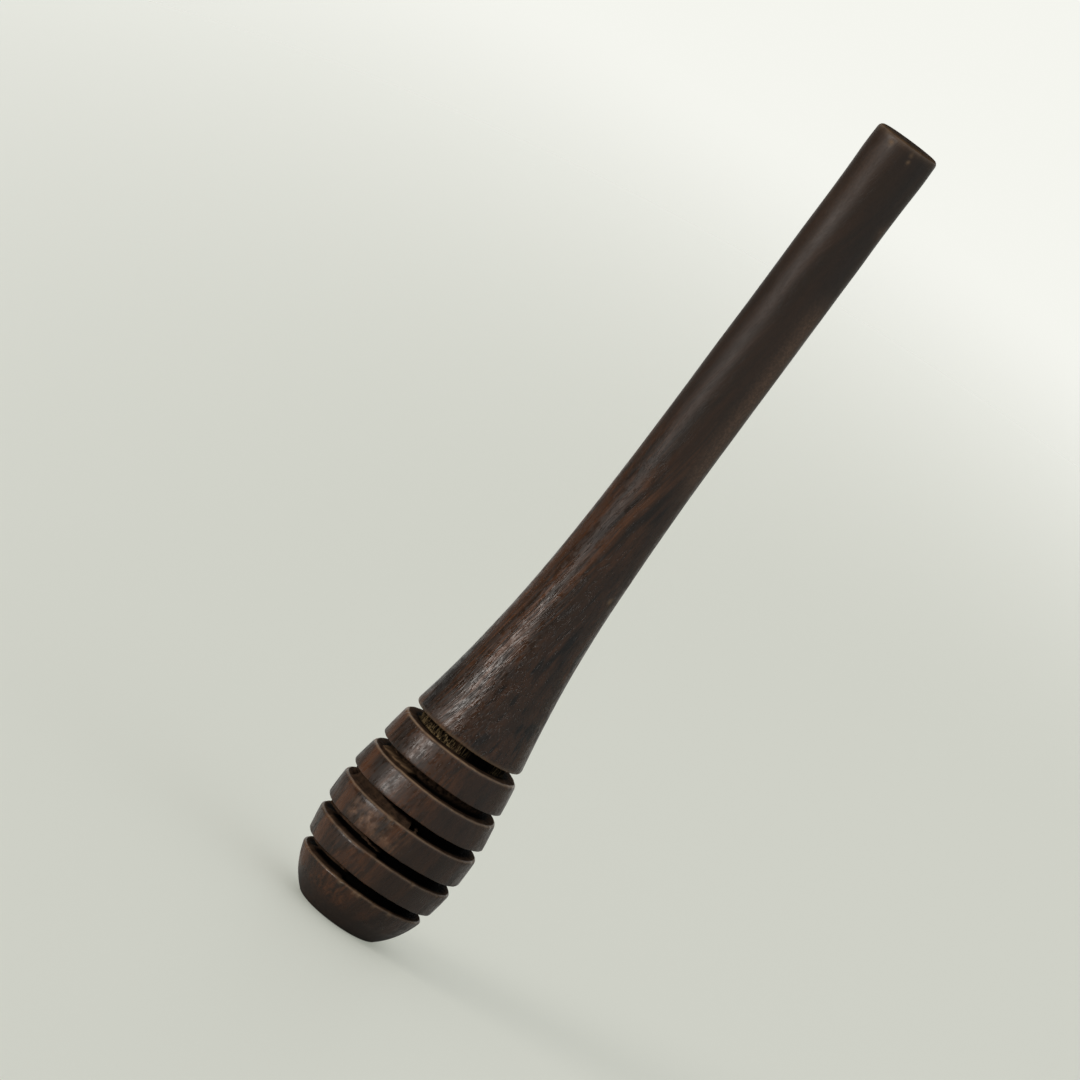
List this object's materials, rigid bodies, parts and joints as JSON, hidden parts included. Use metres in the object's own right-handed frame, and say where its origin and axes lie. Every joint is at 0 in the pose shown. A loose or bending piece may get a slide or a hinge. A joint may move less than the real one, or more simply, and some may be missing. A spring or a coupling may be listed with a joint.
{
  "type": "honey dipper",
  "caption": "Turned wooden honey dipper: a straight round grip flares into a barrel-shaped head whose rings and grooves pick up honey, ending in a small flat tip.",
  "frame": {"origin": "centre of the flat end of the tip, which the dipper stands on", "axes": "+Z along the turning axis, from the tip up to the end of the grip; X and Y are any two directions across it"},
  "size_m": [0.025, 0.025, 0.15],
  "materials": {
    "dark_wood": "oiled satin over open grain"
  },
  "bodies": {
    "root": {"dipper_head": "dark_wood", "handle": "dark_wood"}
  },
  "joints": []
}
